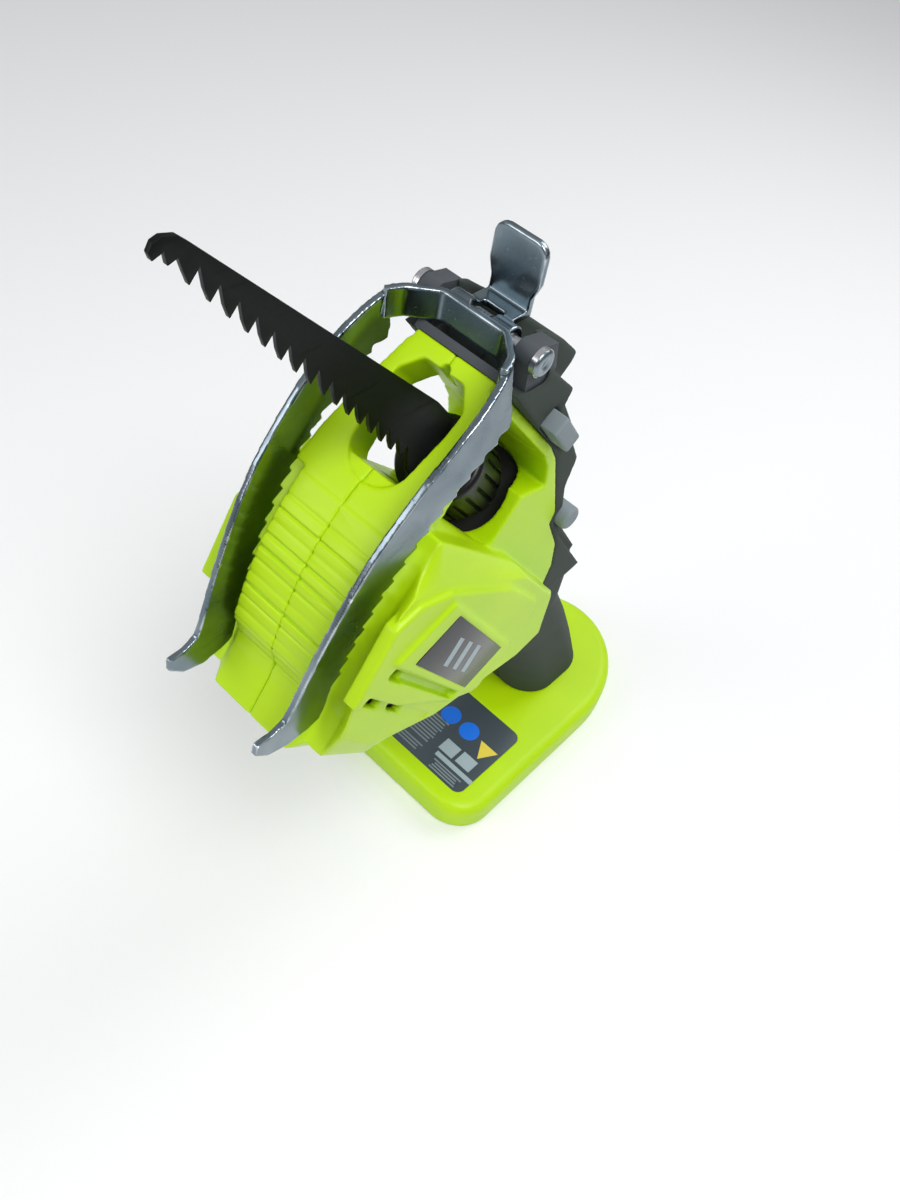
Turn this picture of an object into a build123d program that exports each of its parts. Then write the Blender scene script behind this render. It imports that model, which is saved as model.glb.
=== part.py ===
"""Cordless one-handed pruning saw: clamshell body, reciprocating drive, hinged branch jaw and battery foot.

Row frame: +Z up with the tool standing on its foot, +X towards the blade, +Y to the tool's left.
The origin is the centre of the foot's underside.
"""

import math
import os

from build123d import *

os.makedirs("parts", exist_ok=True)

# ---------------------------------------------------------------- driving dimensions (mm)
BLADE_TILT = 50.3  # angle of the blade's line of travel above the ground
BLADE_TIP = (158.0, 0.0, 281.2)  # first tooth of the blade, the zero of every head measure
DRIVE_HEIGHT = 6.5  # plunger axis above the blade's tooth line

TOOTH_PITCH = 6.35
TOOTH_DEPTH = 3.6
TOOTH_RAKE = 0.6  # undercut of the face that cuts on the pull stroke
TOOTH_COUNT = 17
BLADE_THICKNESS = 1.3

BODY_HALF = 28.5  # motor housing's half width
PANEL_HALF = 30.3  # raised side panel's half width
HEAD_HALF = 19.5  # upper head's half width
NOSE_HALF = 15.0  # flat ribbed front's half width
WALL = 3.0

LOOP_FRONT = -93.0
LOOP_BACK = -105.0
LOOP_TOP = 28.0
BEAM_LOW = 24.8
WINDOW_HALF = 9.5
WINDOW_SHOULDER = 11.0
WINDOW_TOP = 23.0
WINDOW_BOTTOM = -10.5

RECESS_RADIUS = 15.5
RECESS_FACE = -141.0
RECESS_DEPTH = 10.0
COLLAR_RADIUS = 13.0

STROKE = 16.0
GEAR_MODULE = 0.7
GEAR_TEETH = 66
PINION_TEETH = 12
MOTOR_S = -145.0  # motor axis, measured along the blade line
GEAR_S = MOTOR_S - GEAR_MODULE * (GEAR_TEETH + PINION_TEETH) / 2
GEAR_T = -17.0  # underside of the crank gear
GEAR_THICKNESS = 5.0
MOTOR_RADIUS = 19.5
MOTOR_LENGTH = 36.0
MOTOR_TOP = GEAR_T - 7.5
MOTOR_BASE = MOTOR_TOP - MOTOR_LENGTH
ROTOR_RADIUS = 13.5
ROTOR_LENGTH = 20.0
PLUNGER_RADIUS = 5.0
FIT = 0.05  # radial running clearance

PIN_S = -92.8  # jaw hinge
PIN_T = 37.8
PIN_RADIUS = 2.0
JAW_THICKNESS = 2.0

FOOT_HALF = 38.0
FOOT_HEIGHT = 14.0

# ---------------------------------------------------------------- frames
tilt = math.radians(BLADE_TILT)
ALONG = Vector(math.cos(tilt), 0, math.sin(tilt))  # towards the blade's tip
DORSAL = Vector(-math.sin(tilt), 0, math.cos(tilt))  # towards the tool's back
LEFT = Vector(0, 1, 0)


def at(s, t, y=0.0):
    """Point s along the blade line, t towards the back and y to the left."""
    return Vector(*BLADE_TIP) + ALONG * s + DORSAL * t + LEFT * y


def side(y=0.0):
    """Side-view plane of the head: local x is s, local y is t."""
    return Plane(origin=at(0, 0, y), x_dir=ALONG, z_dir=-LEFT)


def across(s, t=0.0):
    """Plane across the blade line: local x is y, local y is t."""
    return Plane(origin=at(s, t), x_dir=LEFT, z_dir=ALONG)


def deck(t, s=0.0):
    """Plane across the dorsal direction: local x is s, local y is y."""
    return Plane(origin=at(s, t), x_dir=ALONG, z_dir=DORSAL)


def lateral(s, t, y):
    """Plane facing left at a point of the head."""
    return Plane(origin=at(s, t, y), x_dir=-ALONG, z_dir=LEFT)


# ---------------------------------------------------------------- shape helpers
def side_plate(points, half_width, y=0.0):
    """Side-view outline given a width to both sides of y."""
    with BuildPart() as plate:
        with BuildSketch(side(y)):
            with BuildLine():
                Polyline(*points, close=True)
            make_face()
        extrude(amount=half_width, both=True)
    return plate.part


def side_loft(sections):
    """Faceted solid through side-view outlines [(y, points), ...], mirrored to the other side."""
    with BuildPart() as half:
        for (near, near_points), (far, far_points) in zip(sections, sections[1:]):
            for y, points in ((near, near_points), (far, far_points)):
                with BuildSketch(side(y)):
                    with BuildLine():
                        Polyline(*points, close=True)
                    make_face()
            loft(ruled=True)
        mirror(about=Plane.XZ)
    return half.part


def rod(plane, radius, length, inner=0.0):
    """Cylinder or tube that stands on a plane."""
    with BuildPart() as body:
        with BuildSketch(plane):
            Circle(radius)
            if inner:
                Circle(inner, mode=Mode.SUBTRACT)
        extrude(amount=length)
    return body.part


def block(plane, width, depth, height, radius=0.0):
    """Rounded rectangle that stands on a plane."""
    with BuildPart() as body:
        with BuildSketch(plane):
            if radius:
                RectangleRounded(width, depth, radius)
            else:
                Rectangle(width, depth)
        extrude(amount=height)
    return body.part


def coil(plane, radius, wire, pitch, turns):
    """Open coil of round wire that winds up from a plane."""
    with BuildPart() as spring:
        with BuildLine() as route:
            Helix(pitch=pitch, height=pitch * turns, radius=radius)
        with BuildSketch(Plane(route.edge() @ 0, z_dir=route.edge() % 0)):
            Circle(wire / 2)
        sweep(is_frenet=True)
    return plane.location * spring.part


def spur(plane, teeth, bore, thickness, turn=0.0):
    """Straight-toothed gear of the drive's module; turn shifts the first tooth, in tooth pitches."""
    pitch_radius = GEAR_MODULE * teeth / 2
    root = pitch_radius - 1.2 * GEAR_MODULE
    tip = pitch_radius + 0.9 * GEAR_MODULE
    pitch_angle = 360 / teeth
    with BuildPart() as gear:
        with BuildSketch(plane):
            Circle(root)
            with PolarLocations(0, teeth, start_angle=turn * pitch_angle):
                Polygon(
                    (root - 0.2, -0.95 * GEAR_MODULE),
                    (tip, -0.35 * GEAR_MODULE),
                    (tip, 0.35 * GEAR_MODULE),
                    (root - 0.2, 0.95 * GEAR_MODULE),
                    align=None,
                )
            Circle(bore, mode=Mode.SUBTRACT)
        extrude(amount=thickness)
    return gear.part


def save(part, name):
    """Label a finished piece and write it as its own file."""
    part.label = name
    export_step(part, f"parts/{name}.step")


# ---------------------------------------------------------------- motor housing outline
nose_front = [
    (-93.0, -18.0),
    (-94.5, -28.0),
    (-98.0, -39.0),
    (-103.5, -50.0),
    (-110.0, -60.5),
    (-117.0, -64.5),
    (-119.5, -69.0),
    (-124.0, -82.0),
]
middle_outline = [
    (-206, -5), (-150, -5), (-94.5, -6),
    *nose_front,
    (-153, -78), (-178, -61), (-208, -27), (-212, -14),
]
shoulder_outline = [
    (-203, -3), (-152, -3), (-101, -10),
    (-101, -18), (-102.5, -28), (-106.5, -39.5), (-111.5, -50),
    (-117.5, -60), (-121, -64), (-122.5, -68), (-125.5, -77),
    (-152, -75), (-176, -59), (-206, -27), (-210, -15),
]
flank_outline = [
    (-190, -4), (-159, -4), (-110, -21),
    (-99.5, -25), (-98.5, -31), (-101.5, -40), (-106, -49.5),
    (-111, -58), (-114, -62), (-116, -65), (-118, -67.5),
    (-141, -68.5), (-170, -55.5), (-202, -27.5), (-207, -17),
]
motor_body = side_loft([
    (0, middle_outline),
    (NOSE_HALF, middle_outline),
    (18, shoulder_outline),
    (24, shoulder_outline),
    (BODY_HALF, flank_outline),
])

# raised panel on each flank, with a second, higher lozenge that frames the badge
panel_outline = [
    (-108, -57.5), (-98.8, -34), (-102.4, -25.5), (-114.2, -18.6), (-150, -9), (-176, -8), (-184, -22),
    (-182, -44), (-168, -49),
]
frame_outline = [(-117, -20.5), (-110, -42), (-121, -42.4), (-166.7, -44.5), (-179, -41.8), (-177.5, -24.2)]
BADGE = [(-124.1, -22.8), (-119.8, -39.9), (-167.6, -42.5), (-171.6, -26.3)]

# ---------------------------------------------------------------- upper head, its roof and its back
back_outline = [
    (-88, 40), (-97, 45.5), (-110, 49), (-120, 50.5), (-121.5, 47.5), (-122, 41.5),
    (-154, 38.5), (-157, 37.5), (-163, 30.5), (-187, 17),
]
seam = [(-93, 28), (-131, 28), (-140, 27), (-168, 17), (-171, 13), (-188, 10), (-199, 4), (-206, -4)]
head_core = [(-206, -8), (-142, -8), (-134, BEAM_LOW), (-93, BEAM_LOW), *seam]
spine_outline = [*reversed(seam), *back_outline, (-226, 15), (-214, -5)]
spine_flank = [*reversed(seam), (-93, 35.5), (-98, 39), (-119, 42), (-122, 36.5), (-154, 32.5), (-161, 24.5),
               (-187, 12.5), (-224, 11), (-214, -5)]

with BuildPart() as head_block:
    add(side_loft([(0, head_core), (HEAD_HALF, head_core)]))
    # the beam over the clamp narrows to the width of the loop
    with BuildSketch(deck(20.0)):
        with BuildLine():
            Polyline((-90, 13), (-104, 13.5), (-131, HEAD_HALF), (-131, 30), (-90, 30), close=True)
        make_face()
        mirror(about=Plane.XZ)
    extrude(amount=9, mode=Mode.SUBTRACT)

with BuildPart() as spine_blank:
    add(side_loft([
        (0, spine_outline),
        (HEAD_HALF - 6, spine_outline),
    ]))
    add(side_plate(spine_flank, HEAD_HALF))

# ---------------------------------------------------------------- grip
GRIP_STATIONS = [  # height, centre X, length, half width, corner radius
    (FOOT_HEIGHT, -22.0, 42.0, 18.0, 15.0),
    (40.0, -10.5, 41.0, 16.5, 14.0),
    (62.0, 0.5, 40.0, 16.0, 14.0),
    (90.0, 17.0, 38.0, 17.0, 14.0),
    (118.0, 27.0, 50.0, 18.5, 14.0),
]
SKIN = 2.2


def grip(inset):
    """Sloped pistol grip through its stations, inset all round."""
    with BuildPart() as body:
        for height, centre, length, half, corner in GRIP_STATIONS:
            with BuildSketch(Plane.XY.offset(height)):
                with Locations((centre, 0)):
                    RectangleRounded(length - 2 * inset, 2 * (half - inset), corner - inset)
        loft(ruled=True)
    return body.part


grip_outer = grip(0)
grip_core = grip(SKIN)
grip_hollow = grip(SKIN + WALL + 1.0)

# ---------------------------------------------------------------- blade loop
with BuildPart() as loop:
    with BuildSketch(across(LOOP_BACK)):
        with BuildLine():
            Polyline(
                (0, LOOP_TOP), (11.5, LOOP_TOP), (14, 25), (16, 14), (18.5, -4), (19, -16),
                (-19, -16), (-18.5, -4), (-16, 14), (-14, 25), (-11.5, LOOP_TOP), close=True,
            )
        make_face()
    extrude(amount=LOOP_FRONT - LOOP_BACK)
    outer_edges = loop.edges().filter_by(lambda e: abs((e % 0.5).dot(ALONG)) > 0.99)
    fillet(outer_edges.filter_by(lambda e: (e @ 0.5 - at(0, 0)).dot(DORSAL) > 20), 2.0)
    with BuildSketch(across(LOOP_BACK - 1)):
        with BuildLine():
            Polyline(
                (-WINDOW_HALF, -1), (-WINDOW_SHOULDER, 12), (-WINDOW_SHOULDER, 17), (-6.5, WINDOW_TOP),
                (6.5, WINDOW_TOP), (WINDOW_SHOULDER, 17), (WINDOW_SHOULDER, 12), (WINDOW_HALF, -1),
            )
            ThreePointArc((WINDOW_HALF, -1), (0, WINDOW_BOTTOM), (-WINDOW_HALF, -1))
        make_face()
    extrude(amount=20, mode=Mode.SUBTRACT)
    with BuildSketch(across(LOOP_FRONT)):
        with Locations((0, WINDOW_TOP + 1)):
            Rectangle(2.4, 5)
    extrude(amount=-7, mode=Mode.SUBTRACT)

# ---------------------------------------------------------------- housing halves
RIB_COUNT = 13
RIB_DEPTH = 1.1
VENT_GROOVES = [(-141, -45.8, 54.0, [-120]), (-138, -55.6, 52.0, [-121, -137])]  # s, t, length, hole places
VENT_HOLE = 9.0
VENT_HEIGHT = 3.0
VENT_DEPTH = 2.4
SCREW_POSTS = [(-127.3, -71.3), (-177, -50), (-204.5, -13), (-106, -16)]  # s, t
GRIP_POSTS = [(10, 113), (2, 52)]  # X, Z
HEAD_SEAT = 20.0  # depth of the screw heads, from the middle of the tool
GRIP_SEAT = 11.5
SCREW_RADIUS = 1.5
SOCKET = (-28.0, -8.0, 10.5)  # battery socket: rear X, front X, half width
TRIGGER_LOW = 79.0
TRIGGER_HIGH = 101.5
TRIGGER_HALF = 8.0
LOCK_S = -175.0  # cross-bolt lock-off button
LOCK_T = 18.3
LOCK_RADIUS = 4.0
SLIDE_S = (-131.0, -117.0)  # blade-release slide
SLIDE_T = (28.8, 34.6)
SLIDE_TRAVEL = 8.0

hollow_middle = [(-202, -10), (-97, -10), (-97, -28), (-107, -50), (-116, -60), (-124, -66), (-129, -77),
                 (-151, -75), (-175, -58), (-203, -25)]
hollow_shoulder = [(-201, -12), (-108, -14), (-105, -19), (-106.5, -29), (-110, -39), (-115, -49),
                   (-121, -58.5), (-126, -65), (-129, -72), (-151, -71), (-174, -56), (-202, -26)]
with BuildPart() as motor_hollow:
    add(side_loft([
        (0, hollow_middle),
        (NOSE_HALF - 3, hollow_middle),
        (NOSE_HALF, hollow_shoulder),
        (BODY_HALF - 2 * WALL, hollow_shoulder),
        (BODY_HALF - WALL, [(-190, -12), (-116, -25), (-107, -28), (-106.5, -37), (-111, -48.5), (-118, -59),
                            (-123, -63), (-140, -64), (-168, -52.5), (-198, -25)]),
    ]))

CASE_FRONT = -152.0
CASE_BACK = -199.0
CASE_HALF = 16.0
CASE_TOP = 13.0
CASE_LOW = -10.5
GAP = 0.3  # assembly clearance
drive_chamber = side_plate(
    [(CASE_BACK - GAP, CASE_LOW - 2), (CASE_FRONT + GAP, CASE_LOW - 2), (CASE_FRONT + GAP, CASE_TOP + GAP),
     (CASE_BACK - GAP, CASE_TOP + GAP)],
    CASE_HALF + GAP,
)

with BuildLine(side()) as nose_line:
    Polyline(*nose_front[:6])
nose_wire = nose_line.wires()[0]

with BuildPart() as housing:
    add(motor_body)
    add(head_block.part)
    add(loop.part)
    add(grip_core)
    for flank in (1, -1):
        add(side_plate(panel_outline, 2.2, flank * (PANEL_HALF - 2.2)))
        add(side_plate(frame_outline, 2.0, flank * (PANEL_HALF - 0.8)))
    # collar recess, plunger way and drive chamber
    add(rod(across(RECESS_FACE - RECESS_DEPTH, DRIVE_HEIGHT), RECESS_RADIUS, 40), mode=Mode.SUBTRACT)
    add(drive_chamber, mode=Mode.SUBTRACT)
    add(motor_hollow.part, mode=Mode.SUBTRACT)
    add(grip_hollow, mode=Mode.SUBTRACT)
    add(rod(deck(GEAR_T - 1, GEAR_S), GEAR_MODULE * GEAR_TEETH / 2 + 1.6, 7), mode=Mode.SUBTRACT)
    add(rod(across(CASE_FRONT - 1, DRIVE_HEIGHT), PLUNGER_RADIUS + 1, 5), mode=Mode.SUBTRACT)
    # opening between the loop and the head, where the clamp collar is reached
    with BuildSketch(side()):
        with BuildLine():
            Polyline(
                (-138, -5), (-136.5, 12), (-144, 17.5), (-147, 19.5), (-139, 23.6), (-131, BEAM_LOW),
                (LOOP_BACK, BEAM_LOW), (LOOP_BACK, -5), close=True,
            )
        make_face()
    extrude(amount=40, both=True, mode=Mode.SUBTRACT)
    # grooves across the nose, at even steps down its front
    for rib in range(RIB_COUNT):
        middle = nose_wire @ (0.12 + 0.88 * rib / (RIB_COUNT - 1))
        with BuildSketch(Plane(origin=middle, x_dir=LEFT, z_dir=nose_wire % 0.5)):
            Rectangle(2 * NOSE_HALF + 1, 2 * RIB_DEPTH)
        extrude(amount=0.5, both=True, mode=Mode.SUBTRACT)
    # cooling slots on both flanks
    for s, t, length, holes in VENT_GROOVES:
        for flank in (1, -1):
            with BuildSketch(side(flank * PANEL_HALF)):
                with Locations((s, t)):
                    Rectangle(length, VENT_HEIGHT, rotation=2)
            extrude(amount=VENT_DEPTH, both=True, mode=Mode.SUBTRACT)
        with BuildSketch(side()):
            with Locations(*[(hole, t) for hole in holes]):
                Rectangle(VENT_HOLE, VENT_HEIGHT - 0.4)
        extrude(amount=40, both=True, mode=Mode.SUBTRACT)


PIN = at(PIN_S, PIN_T)
PIN_X = PIN.X
PIN_Z = PIN.Z
LUG_INNER = 13.0
LUG_OUTER = 18.5
LUG_RADIUS = 3.4


def screw_cut(origin, seat):
    """Screw hole and head well, entered from the tool's right."""
    with BuildPart() as cut:
        with BuildSketch(Plane(origin=(origin.X, seat - 8, origin.Z), x_dir=(1, 0, 0), z_dir=(0, -1, 0))):
            Circle(SCREW_RADIUS + FIT)
        extrude(amount=2 * seat)
        with BuildSketch(Plane(origin=(origin.X, -seat, origin.Z), x_dir=(1, 0, 0), z_dir=(0, -1, 0))):
            Circle(3.3)
        extrude(amount=25)
    return cut.part


screw_cuts = [screw_cut(at(s, t), HEAD_SEAT) for s, t in SCREW_POSTS]
screw_cuts += [screw_cut(Vector(x, 0, z), GRIP_SEAT) for x, z in GRIP_POSTS]

with BuildPart() as trigger_slot:
    with BuildSketch(Plane.XY.offset(TRIGGER_LOW - 0.5)):
        with Locations((42, 0)):
            Rectangle(34, 2 * TRIGGER_HALF + 0.8)
    extrude(amount=TRIGGER_HIGH - TRIGGER_LOW + 1)

with BuildPart() as housing_full:
    add(housing.part)
    add(spine_blank.part, mode=Mode.SUBTRACT)
    for s, t in SCREW_POSTS:
        add(rod(lateral(s, t, -23), 3.4, 46))
    for x, z in GRIP_POSTS:
        with BuildSketch(Plane.XZ.offset(-12.5)):
            with Locations((x, z)):
                Circle(3.4)
        extrude(amount=25)
    for cut in screw_cuts:
        add(cut, mode=Mode.SUBTRACT)
    add(trigger_slot.part, mode=Mode.SUBTRACT)
    for flank in (1, -1):
        add(side_plate(BADGE, 1.0, flank * (PANEL_HALF + 1.6)), mode=Mode.SUBTRACT)

for half_name, keep in (("housing_left", Keep.BOTTOM), ("housing_right", Keep.TOP)):
    with BuildPart() as shell_half:
        add(housing_full.part)
        split(bisect_by=Plane.XZ, keep=keep)
    save(shell_half.part, half_name)

# ---------------------------------------------------------------- hinge bracket, pin and jaw
with BuildPart() as jaw_bracket:
    with BuildSketch(side()):
        with BuildLine():
            Polyline((-93, 28), (-92.6, 30.4), (-104, 30.4), (-104, 28), close=True)
        make_face()
    extrude(amount=14.3, both=True)
    for flank in (1, -1):
        with BuildSketch(Plane.XZ.offset(-flank * (LUG_INNER + LUG_OUTER) / 2)):
            with Locations((PIN_X, PIN_Z)):
                Circle(LUG_RADIUS)
            with BuildLine():
                Polyline(
                    (PIN_X + LUG_RADIUS - 0.2, PIN_Z), (PIN_X + 2.5, PIN_Z - 9), (PIN_X - 4, PIN_Z - 12),
                    (PIN_X - 9, PIN_Z - 6), (PIN_X - 7, PIN_Z + 2), (PIN_X - 1.5, PIN_Z + LUG_RADIUS - 0.3),
                    close=True,
                )
            make_face()
        extrude(amount=(LUG_OUTER - LUG_INNER) / 2, both=True)
    with BuildSketch(Plane.XZ):
        with Locations((PIN_X, PIN_Z)):
            Circle(PIN_RADIUS + FIT)
    extrude(amount=30, both=True, mode=Mode.SUBTRACT)
save(jaw_bracket.part, "jaw_bracket")

# ---------------------------------------------------------------- dark overmould: spine and grip skin
with BuildPart() as overmould:
    add(spine_blank.part)
    add(grip_outer)
    add(grip_core, mode=Mode.SUBTRACT)
    add(grip_hollow, mode=Mode.SUBTRACT)
    add(motor_body, mode=Mode.SUBTRACT)
    add(head_block.part, mode=Mode.SUBTRACT)
    add(drive_chamber, mode=Mode.SUBTRACT)
    add(jaw_bracket.part, mode=Mode.SUBTRACT)
    # the jaw's tab and knuckles swing in a slot at the front
    add(side_plate([(-80, 31), (-104.5, 31), (-104.5, 60), (-80, 60)], LUG_INNER - 1.2), mode=Mode.SUBTRACT)
    with BuildSketch(Plane.XZ):
        with Locations((PIN_X + 12, PIN_Z + 6)):
            Rectangle(34, 28)
    extrude(amount=30, both=True, mode=Mode.SUBTRACT)
    for cut in screw_cuts:
        add(cut, mode=Mode.SUBTRACT)
    add(trigger_slot.part, mode=Mode.SUBTRACT)
    add(rod(lateral(LOCK_S, LOCK_T, -40), LOCK_RADIUS + 0.1, 80), mode=Mode.SUBTRACT)
    add(side_plate(
        [(SLIDE_S[0] - SLIDE_TRAVEL - 0.3, SLIDE_T[0] - 0.3), (SLIDE_S[1] + 0.3, SLIDE_T[0] - 0.3),
         (SLIDE_S[1] + 0.3, SLIDE_T[1] + 0.3), (SLIDE_S[0] - SLIDE_TRAVEL - 0.3, SLIDE_T[1] + 0.3)],
        10, 22), mode=Mode.SUBTRACT)
    # inner chamber of the spine
    with BuildSketch(side()):
        with BuildLine():
            Polyline((-112, 30), (-112, 42), (-118, 44), (-150, 34), (-159, 28), (-140, 30), close=True)
        make_face()
    extrude(amount=9, both=True, mode=Mode.SUBTRACT)

for half_name, keep in (("overmould_left", Keep.BOTTOM), ("overmould_right", Keep.TOP)):
    with BuildPart() as skin_half:
        add(overmould.part)
        split(bisect_by=Plane.XZ, keep=keep)
    save(skin_half.part, half_name)

with BuildPart() as hinge_pin:
    with BuildSketch(Plane.XZ):
        with Locations((PIN_X, PIN_Z)):
            Circle(PIN_RADIUS)
    extrude(amount=LUG_OUTER, both=True)
    for flank in (1, -1):
        lug_face = Plane(origin=(PIN_X, flank * LUG_OUTER, PIN_Z), x_dir=(1, 0, 0), z_dir=(0, flank, 0))
        with BuildSketch(lug_face):
            Circle(3.8)
        extrude(amount=1.5)
save(hinge_pin.part, "hinge_pin")

KNUCKLE_RADIUS = 4.0
KNUCKLE_END = 10.0
BRIDGE_X = PIN_X + KNUCKLE_RADIUS - JAW_THICKNESS / 2
ARM_X = BRIDGE_X + 6.5
ARM_HALF = 18.0
ARM_LOW = PIN_Z - 4.0
ARM_HEIGHT = 8.5
TAB_X = PIN_X - 10.2
TAB_TOP = PIN_Z + 20.6
TAB_HALF = 8.0

rail_front = [
    (-82.1, 31.8), (-80.8, 24), (-79.5, 12), (-79.5, -2), (-81, -13), (-83, -23), (-86.5, -33), (-91, -43),
    (-95, -51), (-99, -58.5), (-103, -65.5), (-105.8, -71), (-104.5, -75.5), (-101.5, -79.5),
]
rail_foot = [(-104, -82.2), (-110, -81.8), (-116, -77.8), (-119.3, -72.5), (-120.8, -68), (-117, -62.5)]
rail_rear = [
    (-112.5, -57.5), (-106.8, -48), (-100.5, -35), (-96.3, -22), (-94, -10), (-93, 2), (-93, 12),
    (-94.5, 23),
]
rail_top = [(-92.5, 24.8), (-88.6, 26.6)]
RAIL_TEETH = 16
RAIL_TOOTH = 1.9


def toothed(points, count, height):
    """Points of a saw-like edge along a line: a gullet and a hooked tip for each tooth."""
    with BuildLine(Plane.XY) as guide:
        Spline(*points)
    wire = guide.wires()[0]
    edge = []
    for tooth in range(count):
        gullet = wire @ (tooth / count)
        tip = wire @ ((tooth + 0.82) / count)
        slope = wire % ((tooth + 0.82) / count)
        edge.append((gullet.X, gullet.Y))
        edge.append((tip.X - slope.Y * height, tip.Y + slope.X * height))
    return edge


with BuildPart() as rail_sheet:
    with BuildSketch(across(-125)):
        with BuildLine():
            Spline((17.3, -84), (19.6, -40), (21.4, 0), (21.3, 18), (ARM_HALF, 33), (16.8, 36))
        trace(line_width=JAW_THICKNESS)
    extrude(amount=60)
    mirror(about=Plane.XZ)

with BuildPart() as rails:
    add(side_plate(rail_front + rail_foot + toothed(rail_rear, RAIL_TEETH, RAIL_TOOTH) + rail_top, 30))
    add(rail_sheet.part, mode=Mode.INTERSECT)

with BuildPart() as jaw_frame:
    # bridge with its two arms, stood on edge between the rails
    with BuildSketch(Plane.XY.offset(ARM_LOW)):
        with BuildLine():
            FilletPolyline(
                (ARM_X + 5, ARM_HALF + 1.0), (ARM_X, ARM_HALF - 1), (BRIDGE_X, KNUCKLE_END),
                (BRIDGE_X, -KNUCKLE_END), (ARM_X, 1 - ARM_HALF), (ARM_X + 5, -ARM_HALF - 1.0), radius=4.0,
            )
        trace(line_width=JAW_THICKNESS)
    extrude(amount=ARM_HEIGHT)
    add(rails.part)
    # rolled knuckles
    for flank in (1, -1):
        with BuildSketch(Plane.XZ.offset(-flank * (KNUCKLE_END + 3.6) / 2)):
            with Locations((PIN_X, PIN_Z)):
                Circle(KNUCKLE_RADIUS)
        extrude(amount=(KNUCKLE_END - 3.6) / 2, both=True)
    # thumb tab: a shelf behind the knuckles, a bend, a waist and a wide top
    with BuildSketch(Plane.XY.offset(PIN_Z + 0.6)):
        with Locations(((PIN_X + TAB_X) / 2 - 0.5, 0)):
            Rectangle(PIN_X - TAB_X + 1, 13)
    extrude(amount=JAW_THICKNESS)
    with BuildSketch(Plane.YZ.offset(TAB_X - JAW_THICKNESS / 2)):
        with BuildLine():
            Polyline(
                (-6.5, PIN_Z + 0.6), (-6.5, PIN_Z + 6), (-TAB_HALF, PIN_Z + 10), (-TAB_HALF, TAB_TOP),
                (TAB_HALF, TAB_TOP), (TAB_HALF, PIN_Z + 10), (6.5, PIN_Z + 6), (6.5, PIN_Z + 0.6),
                close=True,
            )
        make_face()
    extrude(amount=JAW_THICKNESS)
    tab_corners = jaw_frame.edges().filter_by(Axis.X).group_by(Axis.Z)[-1]
    fillet(tab_corners, 3.5)
    with BuildSketch(Plane.XZ):
        with Locations((PIN_X, PIN_Z)):
            Circle(PIN_RADIUS + FIT)
    extrude(amount=30, both=True, mode=Mode.SUBTRACT)
    with BuildSketch(Plane.XZ):
        with Locations((PIN_X - 0.9, PIN_Z)):
            Rectangle(7.6, 7.0)
    extrude(amount=3.4, both=True, mode=Mode.SUBTRACT)
save(jaw_frame.part, "jaw_frame")

with BuildPart() as jaw_spring:
    add(coil(Plane(origin=(PIN_X, -2.4, PIN_Z), x_dir=(1, 0, 0), z_dir=(0, 1, 0)), 2.45, 0.6, 1.15, 4))
save(jaw_spring.part, "jaw_spring")

# ---------------------------------------------------------------- blade and its clamp
blade_spine = [
    (5.3, 1.6), (4.6, 3.2), (2.2, 4.9), (-1, 5.4), (-35, 9.7), (-78, 14.6), (-100, 16.8), (-112, 16.8),
    (-116.4, 12.0), (-136, 12.0),
]
blade_heel = [(-136, 1.0), (-116.4, 1.0), (-114.6, -3.4), (-108, -1.0)]

with BuildPart() as blade:
    teeth = []
    for tooth in range(TOOTH_COUNT - 1, 0, -1):
        tip_s = -tooth * TOOTH_PITCH
        teeth.append((tip_s + TOOTH_RAKE, TOOTH_DEPTH))
        teeth.append((tip_s, 0))
        teeth.append((tip_s + 2.8, 1.1))
    teeth += [(-0.8, 2.3), (0, 0.2)]
    with BuildSketch(side()):
        with BuildLine():
            Polyline(*blade_spine, *blade_heel, *teeth, (2.3, 1.6), (3.2, -0.8), (4.7, -0.2), close=True)
        make_face()
    extrude(amount=BLADE_THICKNESS / 2, both=True)
save(blade.part, "blade")

COLLAR_FRONT = -119.2
COLLAR_BACK = -139.0
SLOT_HALF = 0.85
with BuildPart() as clamp_collar:
    add(rod(across(COLLAR_BACK, DRIVE_HEIGHT), COLLAR_RADIUS, COLLAR_FRONT - COLLAR_BACK))
    fillet(clamp_collar.edges().group_by(SortBy.LENGTH)[-1], 2.0)
    with BuildSketch(across(COLLAR_BACK, DRIVE_HEIGHT)):
        with PolarLocations(COLLAR_RADIUS, 20):
            Rectangle(1.2, 1.2)
    extrude(amount=15, mode=Mode.SUBTRACT)
    add(rod(across(COLLAR_BACK, DRIVE_HEIGHT), 8.3, 18), mode=Mode.SUBTRACT)
    add(rod(across(COLLAR_BACK, DRIVE_HEIGHT), 6.5, 30), mode=Mode.SUBTRACT)
save(clamp_collar.part, "clamp_collar")

with BuildPart() as clamp_hub:
    add(rod(across(COLLAR_BACK + 0.5, DRIVE_HEIGHT), 8.2, 17.0))
    add(block(across(COLLAR_BACK + 2.8, DRIVE_HEIGHT), 2 * SLOT_HALF, 30, 30), mode=Mode.SUBTRACT)
    add(rod(lateral(-131, DRIVE_HEIGHT, -20), 1.5 + FIT, 40), mode=Mode.SUBTRACT)
save(clamp_hub.part, "clamp_hub")

with BuildPart() as clamp_pin:
    add(rod(lateral(-131, DRIVE_HEIGHT, SLOT_HALF + 0.05), 1.5, 7.0))
save(clamp_pin.part, "clamp_pin")

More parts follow.
